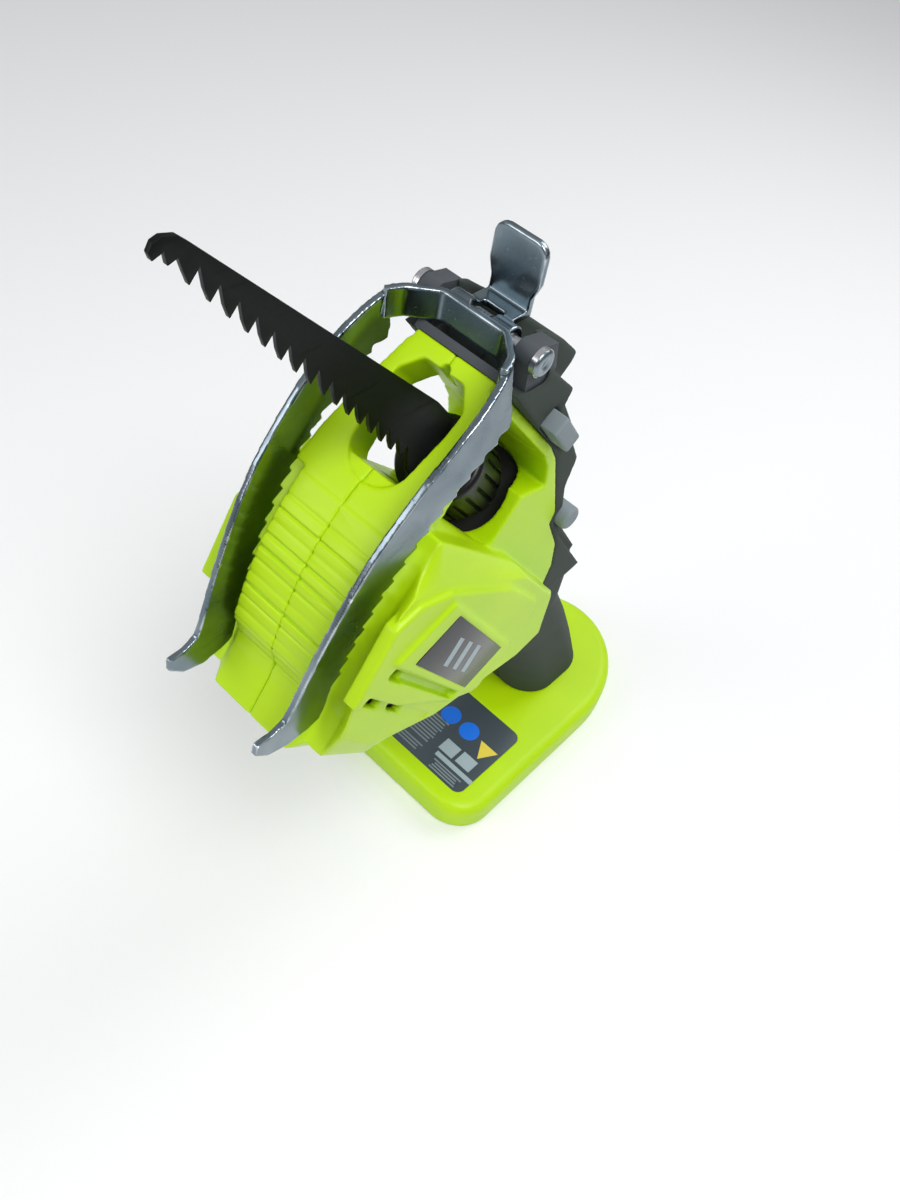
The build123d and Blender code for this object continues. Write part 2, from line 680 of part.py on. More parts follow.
YOKE_BACK = GEAR_S - 6.0
YOKE_FRONT = GEAR_S + 6.0
PLUNGER_TAIL = CASE_BACK + 9.3  # clears the case's rear wall at full back stroke
with BuildPart() as plunger:
    add(rod(across(YOKE_FRONT, DRIVE_HEIGHT), PLUNGER_RADIUS, COLLAR_BACK + 0.5 - YOKE_FRONT))
    add(rod(across(PLUNGER_TAIL, DRIVE_HEIGHT), PLUNGER_RADIUS, YOKE_BACK - PLUNGER_TAIL))
save(plunger.part, "plunger")

with BuildPart() as scotch_yoke:
    add(block(deck(-3.0, GEAR_S), 12.0, 23.6, 14.5, 1.5))
    add(block(deck(-3.5, GEAR_S), 5.6, 21.0, 6.5, 2.7), mode=Mode.SUBTRACT)
save(scotch_yoke.part, "scotch_yoke")

with BuildPart() as shaft_boot:
    add(rod(across(RECESS_FACE - RECESS_DEPTH, DRIVE_HEIGHT), 15.0, 1.6, PLUNGER_RADIUS + 0.3))
    add(rod(across(RECESS_FACE - RECESS_DEPTH + 1.6, DRIVE_HEIGHT), 8.5, 1.2, PLUNGER_RADIUS + 0.3))
save(shaft_boot.part, "shaft_boot")

# ---------------------------------------------------------------- drive
with BuildPart() as front_bush:
    add(rod(across(CASE_FRONT - 5.5, DRIVE_HEIGHT), 6.4, 5.5, PLUNGER_RADIUS + FIT))
save(front_bush.part, "front_bush")

with BuildPart() as rear_bush:
    add(rod(across(CASE_BACK + 1.0, DRIVE_HEIGHT), 6.4, 11.0, PLUNGER_RADIUS + FIT))
save(rear_bush.part, "rear_bush")

with BuildPart() as gear_case:
    case_length = CASE_FRONT - CASE_BACK
    case_base = deck(CASE_LOW, (CASE_FRONT + CASE_BACK) / 2)
    add(block(case_base, case_length, 2 * CASE_HALF, CASE_TOP - CASE_LOW, 3.0))
    add(block(deck(CASE_LOW + 2, GEAR_S - 0.8), 32.0, 25.0, CASE_TOP - CASE_LOW - 3), mode=Mode.SUBTRACT)
    add(rod(deck(CASE_LOW - 1, GEAR_S), 12.2, 4), mode=Mode.SUBTRACT)
    add(rod(across(CASE_FRONT - 5.5, DRIVE_HEIGHT), 6.4, 10), mode=Mode.SUBTRACT)
    add(rod(across(CASE_BACK + 1.0, DRIVE_HEIGHT), 6.4, 12), mode=Mode.SUBTRACT)
save(gear_case.part, "gear_case")

with BuildPart() as crank_gear:
    add(spur(deck(GEAR_T, GEAR_S), GEAR_TEETH, 4.0 + FIT, GEAR_THICKNESS))
save(crank_gear.part, "crank_gear")

CRANK_PIN_RADIUS = 2.5
with BuildPart() as crank_pin:
    with BuildSketch(deck(GEAR_T + GEAR_THICKNESS, GEAR_S)):
        with Locations((0, STROKE / 2)):
            Circle(CRANK_PIN_RADIUS)
    extrude(amount=7.5)
save(crank_pin.part, "crank_pin")

with BuildPart() as gear_axle:
    add(rod(deck(GEAR_T - 6, GEAR_S), 4.0, 6 + GEAR_THICKNESS - 1))
save(gear_axle.part, "gear_axle")

with BuildPart() as bearing_plate:
    add(block(deck(GEAR_T - 5, (GEAR_S + MOTOR_S) / 2 - 2), 62.0, 30.0, 2.5, 4.0))
    add(rod(deck(GEAR_T - 7, GEAR_S), 4.0, 10), mode=Mode.SUBTRACT)
    add(rod(deck(GEAR_T - 7, MOTOR_S), 8.0, 10), mode=Mode.SUBTRACT)
save(bearing_plate.part, "bearing_plate")

with BuildPart() as motor_can:
    add(rod(deck(MOTOR_BASE, MOTOR_S), MOTOR_RADIUS, MOTOR_LENGTH))
    fillet(motor_can.edges().group_by(SortBy.LENGTH)[-1], 1.5)
    add(rod(deck(MOTOR_BASE - 1, MOTOR_S), MOTOR_RADIUS - 1.2, MOTOR_LENGTH - 0.3), mode=Mode.SUBTRACT)
    add(rod(deck(MOTOR_BASE, MOTOR_S), 6.0 + FIT, MOTOR_LENGTH + 5), mode=Mode.SUBTRACT)
save(motor_can.part, "motor_can")

with BuildPart() as motor_bearing:
    add(rod(deck(MOTOR_TOP - 1.2, MOTOR_S), 6.0, 3.8, 2.0 + FIT))
save(motor_bearing.part, "motor_bearing")

with BuildPart() as motor_magnets:
    for turn in (0, 180):
        with BuildSketch(deck(MOTOR_BASE + 4, MOTOR_S)):
            with BuildLine():
                arc = CenterArc((0, 0), MOTOR_RADIUS - 3.2, turn - 60, 120)
                offset(arc, amount=1.6)
            make_face()
        extrude(amount=28)
save(motor_magnets.part, "motor_magnets")

with BuildPart() as rotor:
    add(rod(deck(MOTOR_BASE + 8, MOTOR_S), ROTOR_RADIUS, ROTOR_LENGTH))
    with BuildSketch(deck(MOTOR_BASE + 8, MOTOR_S)):
        with PolarLocations(ROTOR_RADIUS - 3, 5):
            Rectangle(9, 3.4)
    extrude(amount=ROTOR_LENGTH, mode=Mode.SUBTRACT)
    add(rod(deck(MOTOR_BASE - 10, MOTOR_S), 2.0, GEAR_T + GEAR_THICKNESS + 1.5 - MOTOR_BASE + 10))
save(rotor.part, "rotor")

with BuildPart() as motor_pinion:
    add(spur(deck(GEAR_T - 1, MOTOR_S), PINION_TEETH, 2.0, GEAR_THICKNESS + 2, 0.5))
save(motor_pinion.part, "motor_pinion")

with BuildPart() as motor_end_cap:
    add(rod(deck(MOTOR_BASE - 0.5, MOTOR_S), MOTOR_RADIUS - 1.6, 3.5, 2.0 + FIT))
    for turn in (-1, 1):
        add(block(deck(MOTOR_BASE - 3.0, MOTOR_S + turn * 11), 4.0, 6.0, 3.0), mode=Mode.ADD)
save(motor_end_cap.part, "motor_end_cap")

with BuildPart() as cooling_fan:
    add(rod(deck(MOTOR_BASE - 9.5, MOTOR_S), 5.0, 5.5, 2.0))
    add(rod(deck(MOTOR_BASE - 9.5, MOTOR_S), 12.6, 1.2, 2.0))
    with BuildSketch(deck(MOTOR_BASE - 8.3, MOTOR_S)):
        with PolarLocations(8.8, 11):
            Rectangle(7.6, 1.1, rotation=18)
    extrude(amount=4.3)
save(cooling_fan.part, "cooling_fan")

# ---------------------------------------------------------------- controls in the grip
with BuildPart() as switch_module:
    add(block(Plane.XY.offset(TRIGGER_LOW).shift_origin((14.5, 0, TRIGGER_LOW)), 15, 15, 23, 1.5))
save(switch_module.part, "switch_module")

TRIGGER_BACK = 29.0
with BuildPart() as trigger:
    with BuildSketch(Plane.XZ):
        with BuildLine():
            Polyline((45.5, TRIGGER_LOW + 5), (38, TRIGGER_LOW), (TRIGGER_BACK, TRIGGER_LOW),
                     (TRIGGER_BACK, TRIGGER_HIGH), (54, TRIGGER_HIGH))
            ThreePointArc((54, TRIGGER_HIGH), (48.2, 93), (45.5, TRIGGER_LOW + 5))
        make_face()
    extrude(amount=TRIGGER_HALF, both=True)
    fillet(trigger.edges().filter_by(lambda e: (e @ 0.5).X > 40 and abs((e @ 0.5).Y) > 7), 2.0)
save(trigger.part, "trigger")

with BuildPart() as trigger_spring:
    add(coil(Plane(origin=(22.6, 0, 91), x_dir=(0, 1, 0), z_dir=(1, 0, 0)), 3.0, 0.8, 1.4, 4))
save(trigger_spring.part, "trigger_spring")

with BuildPart() as lock_off_button:
    add(rod(lateral(LOCK_S, LOCK_T, -21.5), LOCK_RADIUS, 44.5))
    chamfer(lock_off_button.edges().group_by(Axis.Y)[-1], 0.8)
    add(rod(lateral(LOCK_S, LOCK_T, -4), LOCK_RADIUS + 1, 8, LOCK_RADIUS - 1.2), mode=Mode.SUBTRACT)
save(lock_off_button.part, "lock_off_button")

with BuildPart() as release_slide:
    slide_middle = ((SLIDE_S[0] + SLIDE_S[1]) / 2, (SLIDE_T[0] + SLIDE_T[1]) / 2)
    add(block(lateral(*slide_middle, 12.3), SLIDE_S[1] - SLIDE_S[0], SLIDE_T[1] - SLIDE_T[0], 12.2))
    fillet(release_slide.edges().group_by(Axis.Y)[-1], 1.0)
save(release_slide.part, "release_slide")

with BuildPart() as terminal_block:
    add(block(Plane.XY.offset(35.5).shift_origin((-13.5, 0, 35.5)), 20, 15, 7, 2))
save(terminal_block.part, "terminal_block")

with BuildPart() as battery_contacts:
    for lateral_place in (-6, 0, 6):
        add(block(Plane.XY.offset(24.5).shift_origin((-18, lateral_place, 24.5)), 7, 1.0, 11))
save(battery_contacts.part, "battery_contacts")

with BuildPart() as control_board:
    add(block(deck(-36, -181), 20, 30, 1.6, 1.5))
    add(block(deck(-34.4, -181), 9, 12, 4.0, 0.5))
save(control_board.part, "control_board")

with BuildPart() as battery_leads:
    for lateral_place in (-4, 4):
        start = Vector(-14, lateral_place, 43.2)
        finish = Vector(10, lateral_place, TRIGGER_LOW - 0.9)
        add(rod(Plane(origin=start, z_dir=finish - start), 1.3, (finish - start).length))
save(battery_leads.part, "battery_leads")

# ---------------------------------------------------------------- battery foot
with BuildPart() as foot_shell:
    with BuildSketch():
        with BuildLine():
            Line((-18, FOOT_HALF), (48, FOOT_HALF))
            RadiusArc((48, FOOT_HALF), (64, FOOT_HALF - 16), 16)
            Line((64, FOOT_HALF - 16), (64, 16 - FOOT_HALF))
            RadiusArc((64, 16 - FOOT_HALF), (48, -FOOT_HALF), 16)
            Line((48, -FOOT_HALF), (-18, -FOOT_HALF))
            EllipticalCenterArc((-18, 0), 46, FOOT_HALF, start_angle=90, arc_size=180)
        make_face()
    extrude(amount=FOOT_HEIGHT)
    fillet(foot_shell.edges().group_by(Axis.Z)[-1], 4.5)
    chamfer(foot_shell.edges().group_by(Axis.Z)[0], 0.6)
    with BuildSketch():
        with Locations((6, 0)):
            RectangleRounded(94, 2 * (FOOT_HALF - 8), 12)
    extrude(amount=FOOT_HEIGHT - 5.0, mode=Mode.SUBTRACT)
    with BuildSketch():
        with Locations(((SOCKET[0] + SOCKET[1]) / 2, 0)):
            RectangleRounded(SOCKET[1] - SOCKET[0], 2 * SOCKET[2], 3)
    extrude(amount=FOOT_HEIGHT, mode=Mode.SUBTRACT)
    with BuildSketch(Plane.XY.offset(FOOT_HEIGHT - 0.4)):
        with Locations((35.5, 0)):
            RectangleRounded(41, 54, 4)
    extrude(amount=1, mode=Mode.SUBTRACT)
save(foot_shell.part, "foot_shell")

with BuildPart() as foot_label:
    with BuildSketch(Plane.XY.offset(FOOT_HEIGHT - 0.4)):
        with Locations((35.5, 0)):
            RectangleRounded(40.8, 53.8, 4)
    extrude(amount=0.4)
save(foot_label.part, "foot_label")

for flank, badge_name in ((1, "badge_left"), (-1, "badge_right")):
    with BuildPart() as badge:
        add(side_plate(BADGE, 0.35, flank * (PANEL_HALF + 0.95)))
    save(badge.part, badge_name)

for flank, screen_name in ((1, "vent_screen_left"), (-1, "vent_screen_right")):
    with BuildPart() as vent_screen:
        screen_outline = [(-152, -61), (-118, -57.5), (-112, -45.4), (-150, -43.4)]
        add(side_plate(screen_outline, 0.5, flank * (BODY_HALF - WALL - 0.6)))
    save(vent_screen.part, screen_name)

with BuildPart() as housing_screws:
    for origin, seat in ([(at(s, t), HEAD_SEAT) for s, t in SCREW_POSTS]
                         + [(Vector(x, 0, z), GRIP_SEAT) for x, z in GRIP_POSTS]):
        shank = Plane(origin=(origin.X, seat - 8.5, origin.Z), z_dir=(0, -1, 0))
        add(rod(shank, SCREW_RADIUS, 2 * seat - 8.5))
        add(rod(Plane(origin=(origin.X, -seat, origin.Z), z_dir=(0, -1, 0)), 3.2, 2.2))
save(housing_screws.part, "housing_screws")
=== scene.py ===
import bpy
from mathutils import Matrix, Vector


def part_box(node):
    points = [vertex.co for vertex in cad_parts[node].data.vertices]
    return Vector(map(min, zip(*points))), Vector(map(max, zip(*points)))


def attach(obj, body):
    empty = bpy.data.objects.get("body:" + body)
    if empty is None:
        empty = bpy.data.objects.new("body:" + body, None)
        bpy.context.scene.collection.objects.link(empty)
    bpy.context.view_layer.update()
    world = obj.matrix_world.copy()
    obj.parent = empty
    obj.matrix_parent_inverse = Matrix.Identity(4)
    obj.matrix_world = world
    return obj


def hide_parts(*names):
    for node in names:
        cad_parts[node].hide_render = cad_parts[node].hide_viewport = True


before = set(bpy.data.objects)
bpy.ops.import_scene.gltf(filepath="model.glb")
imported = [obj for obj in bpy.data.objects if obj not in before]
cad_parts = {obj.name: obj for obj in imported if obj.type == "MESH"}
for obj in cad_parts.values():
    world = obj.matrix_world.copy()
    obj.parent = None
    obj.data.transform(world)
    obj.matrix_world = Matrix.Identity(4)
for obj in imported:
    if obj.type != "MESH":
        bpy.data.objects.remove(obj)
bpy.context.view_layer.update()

"""Looks of a cordless pruning saw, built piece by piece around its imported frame.

Lengths are metres in the row frame: +Z up, +X towards the blade, +Y to the tool's left.
"""

import enum
import logging
import math
from dataclasses import dataclass, field
from typing import Callable, Iterable, Sequence

import bmesh
import bpy
from mathutils import Matrix, Vector

LOG = logging.getLogger("pruning_saw")
MM = 0.001
Colour = tuple[float, float, float]

BLADE_TILT = math.radians(50.3)
BLADE_TIP = Vector((0.158, 0.0, 0.2812))
ALONG = Vector((math.cos(BLADE_TILT), 0.0, math.sin(BLADE_TILT)))
DORSAL = Vector((-math.sin(BLADE_TILT), 0.0, math.cos(BLADE_TILT)))


def at(s: float, t: float, y: float = 0.0) -> Vector:
    """Place in the head.

    Args:
        s: Millimetres along the blade line, zero at its tip.
        t: Millimetres towards the tool's back.
        y: Millimetres to the tool's left.

    Returns:
        The place in metres, in the row frame.
    """
    return BLADE_TIP + (ALONG * s + DORSAL * t + Vector((0.0, 1.0, 0.0)) * y) * MM


# ------------------------------------------------------------------ shader boards
class Board:
    """Adds nodes to one node tree and joins them."""

    def __init__(self, tree: bpy.types.NodeTree) -> None:
        """Start on an empty tree."""
        self.tree = tree
        self.tree.nodes.clear()

    def add(self, kind: str, inputs: dict | None = None, **settings: object) -> bpy.types.Node:
        """Add a node.

        Args:
            kind: Blender's class name of the node, without "ShaderNode".
            inputs: Socket name or number, with its value or the socket that feeds it.
            settings: Attributes of the node.

        Returns:
            The new node.
        """
        prefix = "" if kind.startswith("NodeGroup") else "ShaderNode"
        node = self.tree.nodes.new(prefix + kind)
        for name, value in settings.items():
            setattr(node, name, value)
        for name, value in (inputs or {}).items():
            self.feed(node.inputs[name], value)
        return node

    def feed(self, socket: bpy.types.NodeSocket, value: object) -> None:
        """Give a socket a value, or join another socket to it."""
        if isinstance(value, bpy.types.NodeSocket):
            self.tree.links.new(value, socket)
        elif isinstance(value, tuple) and len(value) == 3 and socket.type == "RGBA":
            socket.default_value = (*value, 1.0)
        else:
            socket.default_value = value

    def ramp(self, factor: bpy.types.NodeSocket, low: float, high: float) -> bpy.types.NodeSocket:
        """Stretch a value's range low to high over 0 to 1, and clamp it."""
        node = self.add("MapRange", {"Value": factor, "From Min": low, "From Max": high})
        return node.outputs["Result"]

    def blend(self, factor: object, first: object, second: object) -> bpy.types.NodeSocket:
        """Mix two colours."""
        node = self.add("Mix", data_type="RGBA")
        self.feed(node.inputs[0], factor)
        self.feed(node.inputs[6], first)
        self.feed(node.inputs[7], second)
        return node.outputs[2]

    def sum(self, *terms: tuple[object, float]) -> bpy.types.NodeSocket:
        """Add values, each times its own weight."""
        total: object = 0.0
        for value, weight in terms:
            node = self.add("Math", {0: value, 1: weight, 2: total}, operation="MULTIPLY_ADD")
            total = node.outputs[0]
        return total


def new_group(
    name: str, inputs: dict[str, object], outputs: dict[str, str]
) -> tuple[Board, bpy.types.Node, bpy.types.Node]:
    """Start a shader node group.

    Args:
        name: The group's name.
        inputs: Socket names with their defaults; a tuple is a colour and a number a float.
        outputs: Socket names with their Blender socket types.

    Returns:
        The group's board, its input node and its output node.
    """
    tree = bpy.data.node_groups.new(name, "ShaderNodeTree")
    for socket_name, default in inputs.items():
        colour = isinstance(default, tuple)
        socket = tree.interface.new_socket(
            socket_name, in_out="INPUT", socket_type="NodeSocketColor" if colour else "NodeSocketFloat"
        )
        socket.default_value = (*default, 1.0) if colour else default
    for socket_name, kind in outputs.items():
        tree.interface.new_socket(socket_name, in_out="OUTPUT", socket_type=kind)
    board = Board(tree)
    return board, board.add("NodeGroupInput"), board.add("NodeGroupOutput")


def moulded_group() -> bpy.types.NodeTree:
    """Moulded plastic: slow tone drift, spark-eroded grain, handling marks."""
    board, given, made = new_group(
        "moulded_surface",
        {"Tone": (0.5, 0.5, 0.5), "Deep tone": (0.4, 0.4, 0.4), "Roughness": 0.4, "Grain size": 900.0,
         "Grain depth": 0.5, "Marks": 0.1},
        {"Tone": "NodeSocketColor", "Roughness": "NodeSocketFloat", "Height": "NodeSocketFloat"},
    )
    place = board.add("TexCoord").outputs["Object"]
    drift = board.add("TexNoise", {"Vector": place, "Scale": 22.0, "Detail": 3.0}).outputs["Fac"]
    grain_size = given.outputs["Grain size"]
    grain = board.add("TexNoise", {"Vector": place, "Scale": grain_size, "Detail": 2.0}).outputs["Fac"]
    pits = board.add("TexVoronoi", {"Vector": place, "Scale": grain_size}).outputs["Distance"]
    streaks = board.add("Mapping", {"Vector": place, "Scale": (60.0, 260.0, 420.0), "Rotation": (0.4, 0.9, 0.3)})
    marks = board.add("TexNoise", {"Vector": streaks.outputs[0], "Scale": 1.0, "Detail": 5.0}).outputs["Fac"]
    scuffs = board.ramp(marks, 0.6, 0.78)
    tone = board.blend(board.ramp(drift, 0.3, 0.7), given.outputs["Tone"], given.outputs["Deep tone"])
    board.feed(made.inputs["Tone"], tone)
    scuffed = board.add("Math", {0: scuffs, 1: given.outputs["Marks"]}, operation="MULTIPLY").outputs[0]
    board.feed(made.inputs["Roughness"], board.sum((given.outputs["Roughness"], 1.0), (scuffed, 1.0), (grain, 0.08)))
    depth = board.sum((grain, 0.6), (pits, 0.5))
    deep = board.add("Math", {0: depth, 1: given.outputs["Grain depth"]}, operation="MULTIPLY").outputs[0]
    board.feed(made.inputs["Height"], board.sum((deep, 1.0), (scuffed, -0.2)))
    return board.tree


def metal_group() -> bpy.types.NodeTree:
    """Plated or ground metal: brush lines, cloudy plating and small scratches."""
    board, given, made = new_group(
        "metal_surface",
        {"Tone": (0.6, 0.6, 0.6), "Deep tone": (0.4, 0.4, 0.4), "Roughness": 0.25, "Brush": 0.5, "Cloud": 0.5},
        {"Tone": "NodeSocketColor", "Roughness": "NodeSocketFloat", "Height": "NodeSocketFloat"},
    )
    place = board.add("TexCoord").outputs["Object"]
    stretch = board.add("Mapping", {"Vector": place, "Scale": (240.0, 2600.0, 240.0), "Rotation": (0.0, -0.88, 0.0)})
    brush = board.add("TexNoise", {"Vector": stretch.outputs[0], "Scale": 1.0, "Detail": 4.0}).outputs["Fac"]
    cloud = board.add("TexNoise", {"Vector": place, "Scale": 70.0, "Detail": 4.0, "Distortion": 0.8}).outputs["Fac"]
    cut = board.add("Mapping", {"Vector": place, "Scale": (90.0, 700.0, 1400.0), "Rotation": (0.7, 0.2, 0.5)})
    lines = board.add("TexNoise", {"Vector": cut.outputs[0], "Scale": 1.0, "Detail": 6.0}).outputs["Fac"]
    scratches = board.ramp(lines, 0.66, 0.74)
    clouded = board.add("Math", {0: board.ramp(cloud, 0.35, 0.7), 1: given.outputs["Cloud"]}, operation="MULTIPLY")
    board.feed(made.inputs["Tone"], board.blend(clouded.outputs[0], given.outputs["Tone"], given.outputs["Deep tone"]))
    board.feed(
        made.inputs["Roughness"],
        board.sum((given.outputs["Roughness"], 1.0), (clouded.outputs[0], 0.14), (scratches, 0.15), (brush, 0.05)),
    )
    lined = board.add("Math", {0: brush, 1: given.outputs["Brush"]}, operation="MULTIPLY").outputs[0]
    board.feed(made.inputs["Height"], board.sum((lined, 1.0), (scratches, -0.4)))
    return board.tree


def edge_highlight_group() -> bpy.types.NodeTree:
    """Painted edge highlight: where the surface turns sharply outwards it is lighter, broken up by noise."""
    board, given, made = new_group(
        "painted_edge_highlight",
        {"Tone": (0.5, 0.5, 0.5), "Highlight tone": (0.8, 0.8, 0.8), "Turn": 0.5, "Amount": 0.5},
        {"Tone": "NodeSocketColor", "Mask": "NodeSocketFloat"},
    )
    place = board.add("TexCoord").outputs["Object"]
    patchy = board.add("TexNoise", {"Vector": place, "Scale": 160.0, "Detail": 4.0}).outputs["Fac"]
    # The lighter colour on sharp outward edges is a painted highlight.
    edge = board.ramp(given.outputs["Turn"], 0.515, 0.56)
    broken = board.add("Math", {0: edge, 1: board.ramp(patchy, 0.4, 0.62)}, operation="MULTIPLY").outputs[0]
    mask = board.add("Math", {0: broken, 1: given.outputs["Amount"]}, operation="MULTIPLY").outputs[0]
    board.feed(made.inputs["Tone"], board.blend(mask, given.outputs["Tone"], given.outputs["Highlight tone"]))
    board.feed(made.inputs["Mask"], mask)
    return board.tree


class Effect(enum.Enum):
    """Surface effects that the finishes share, each built once as a node group."""

    MOULDED = "moulded_surface"
    METAL = "metal_surface"
    # Painted highlight on sharp outward edges.
    EDGE_HIGHLIGHT = "painted_edge_highlight"

    def tree(self) -> bpy.types.NodeTree:
        """The effect's node group, made on first use."""
        makers: dict[Effect, Callable[[], bpy.types.NodeTree]] = {
            Effect.MOULDED: moulded_group,
            Effect.METAL: metal_group,
            Effect.EDGE_HIGHLIGHT: edge_highlight_group,
        }
        return bpy.data.node_groups.get(self.value) or makers[self]()


# ------------------------------------------------------------------ finishes
@dataclass(frozen=True)
class Moulded:
    """A moulded plastic or rubber finish."""

    name: str
    tone: Colour
    deep_tone: Colour
    roughness: float = 0.4
    grain_size: float = 1500.0
    grain_depth: float = 0.5
    bump: float = 0.0001
    marks: float = 0.1
    coat: float = 0.0
    gloss: float = 0.4
    # Colour and strength of a painted highlight on sharp outward edges.
    highlight_tone: Colour | None = None
    highlight_amount: float = 0.0

    def material(self) -> bpy.types.Material:
        """The finish's material, made on first use."""
        return dressed(self.name, Effect.MOULDED, self.tone, self.deep_tone, {
            "Roughness": self.roughness, "Grain size": self.grain_size, "Grain depth": self.grain_depth,
            "Marks": self.marks,
        }, self.bump, self.coat, self.gloss, 0.0, self.highlight_tone, self.highlight_amount)


@dataclass(frozen=True)
class Metal:
    """A bare, plated or blackened metal finish."""

    name: str
    tone: Colour
    deep_tone: Colour
    roughness: float = 0.25
    brush: float = 0.5
    cloud: float = 0.5
    bump: float = 0.00006
    metallic: float = 1.0
    coat: float = 0.0
    # Colour and strength of a painted highlight on sharp outward edges.
    highlight_tone: Colour | None = None
    highlight_amount: float = 0.0

    def material(self) -> bpy.types.Material:
        """The finish's material, made on first use."""
        return dressed(self.name, Effect.METAL, self.tone, self.deep_tone, {
            "Roughness": self.roughness, "Brush": self.brush, "Cloud": self.cloud,
        }, self.bump, self.coat, 0.5, self.metallic, self.highlight_tone, self.highlight_amount)


def dressed(
    name: str, effect: Effect, tone: Colour, deep_tone: Colour, values: dict[str, float], bump: float, coat: float,
    gloss: float, metallic: float, highlight_tone: Colour | None, highlight_amount: float,
) -> bpy.types.Material:
    """Build one material from a shared effect.

    Args:
        name: The material's name.
        effect: The node group that varies the surface.
        tone: Main colour.
        deep_tone: Colour that the surface drifts towards.
        values: The group's other inputs.
        bump: Relief in metres.
        coat: Weight of a clear coat.
        gloss: Specular level of an unplated surface.
        metallic: How metallic the surface is.
        highlight_tone: Colour of the painted highlight on sharp outward edges, or None.
        highlight_amount: How strong the painted edge highlight is.

    Returns:
        The material.
    """
    known = bpy.data.materials.get(name)
    if known:
        return known
    material = bpy.data.materials.new(name)
    material.use_nodes = True
    board = Board(material.node_tree)
    surface = board.add("Group", node_tree=effect.tree())
    board.feed(surface.inputs["Tone"], tone)
    board.feed(surface.inputs["Deep tone"], deep_tone)
    for socket, value in values.items():
        surface.inputs[socket].default_value = value
    colour = surface.outputs["Tone"]
    # Sharp outward edges get a painted highlight: a lighter colour picked out by pointiness.
    if highlight_tone:
        turn = board.add("NewGeometry").outputs["Pointiness"]
        highlighted = board.add("Group", {"Tone": colour, "Highlight tone": highlight_tone, "Turn": turn, "Amount": highlight_amount},
                         node_tree=Effect.EDGE_HIGHLIGHT.tree())
        colour = highlighted.outputs["Tone"]
    relief = board.add("Bump", {"Height": surface.outputs["Height"], "Distance": bump, "Strength": 1.0})
    shader = board.add("BsdfPrincipled", {
        "Base Color": colour, "Roughness": surface.outputs["Roughness"], "Metallic": metallic,
        "Specular IOR Level": gloss, "Coat Weight": coat, "Coat Roughness": 0.15, "Normal": relief.outputs["Normal"],
    })
    board.add("OutputMaterial", {"Surface": shader.outputs[0]})
    return material


# The lime's last colour is a painted highlight on its sharp edges.
LIME = Moulded("lime_nylon", (0.47, 0.72, 0.0), (0.41, 0.66, 0.0), 0.36, 1800, 0.35, 0.00005, 0.08, 0.0,
               0.35, (0.58, 0.82, 0.02), 0.2)
# The overmould's last colour is a painted highlight on its sharp edges.
OVERMOULD = Moulded("dark_overmould", (0.022, 0.032, 0.027), (0.016, 0.023, 0.020), 0.55, 2200, 0.8, 0.00012, 0.15,
                    0.0, 0.3, (0.05, 0.065, 0.057), 0.4)
SLATE = Moulded("slate_bracket", (0.035, 0.043, 0.050), (0.025, 0.03, 0.036), 0.4, 1500, 0.4, 0.00006, 0.1)
BLACK = Moulded("black_nylon", (0.008, 0.008, 0.009), (0.005, 0.005, 0.006), 0.26, 1600, 0.4, 0.00004, 0.12, 0.0, 0.3)
GREY_SLIDE = Moulded("grey_slide", (0.33, 0.42, 0.48), (0.28, 0.36, 0.42), 0.4, 1600, 0.5, 0.00006, 0.1)
BOOT = Moulded("boot_rubber", (0.016, 0.016, 0.016), (0.010, 0.010, 0.010), 0.6, 1200, 0.8, 0.0001, 0.2, 0.0, 0.25)
FERRITE = Moulded("ferrite", (0.03, 0.03, 0.034), (0.02, 0.02, 0.022), 0.6, 900, 0.8, 0.0001)
BOARD_GREEN = Moulded("circuit_lacquer", (0.01, 0.12, 0.04), (0.01, 0.08, 0.03), 0.3, 700, 0.4, 0.00006, 0.1, 0.4)
SHEATH = Moulded("lead_sheath", (0.35, 0.012, 0.012), (0.25, 0.01, 0.01), 0.42, 1200, 0.2, 0.00004)
FILM = Moulded("label_film", (0.030, 0.042, 0.052), (0.024, 0.034, 0.043), 0.36, 2600, 0.15, 0.00002, 0.15, 0.1)
PRINT_LIGHT = Moulded("label_print_light", (0.34, 0.42, 0.46), (0.28, 0.35, 0.38), 0.4, 2600, 0.1, 0.00002)
PRINT_DIM = Moulded("label_print_dim", (0.20, 0.25, 0.27), (0.16, 0.20, 0.22), 0.4, 2600, 0.1, 0.00002)
PRINT_BLUE = Moulded("label_print_blue", (0.01, 0.16, 0.72), (0.01, 0.12, 0.62), 0.35, 2600, 0.1, 0.00002)
PRINT_YELLOW = Moulded("label_print_yellow", (0.72, 0.58, 0.06), (0.64, 0.50, 0.05), 0.4, 2600, 0.1, 0.00002)
GLOSS_BADGE = Moulded("badge_gloss", (0.006, 0.007, 0.008), (0.004, 0.005, 0.005), 0.45, 2600, 0.08, 0.00002, 0.2,
                      0.0, 0.12)
SCREEN = Moulded("screen_mesh", (0.008, 0.008, 0.008), (0.004, 0.004, 0.004), 0.7, 500, 1.0, 0.0004)
BLADE_BLACK = Moulded("blade_oxide", (0.003, 0.0045, 0.0042), (0.002, 0.003, 0.0028), 0.38, 900, 0.5, 0.00003, 0.25,
                      0.0, 0.14)
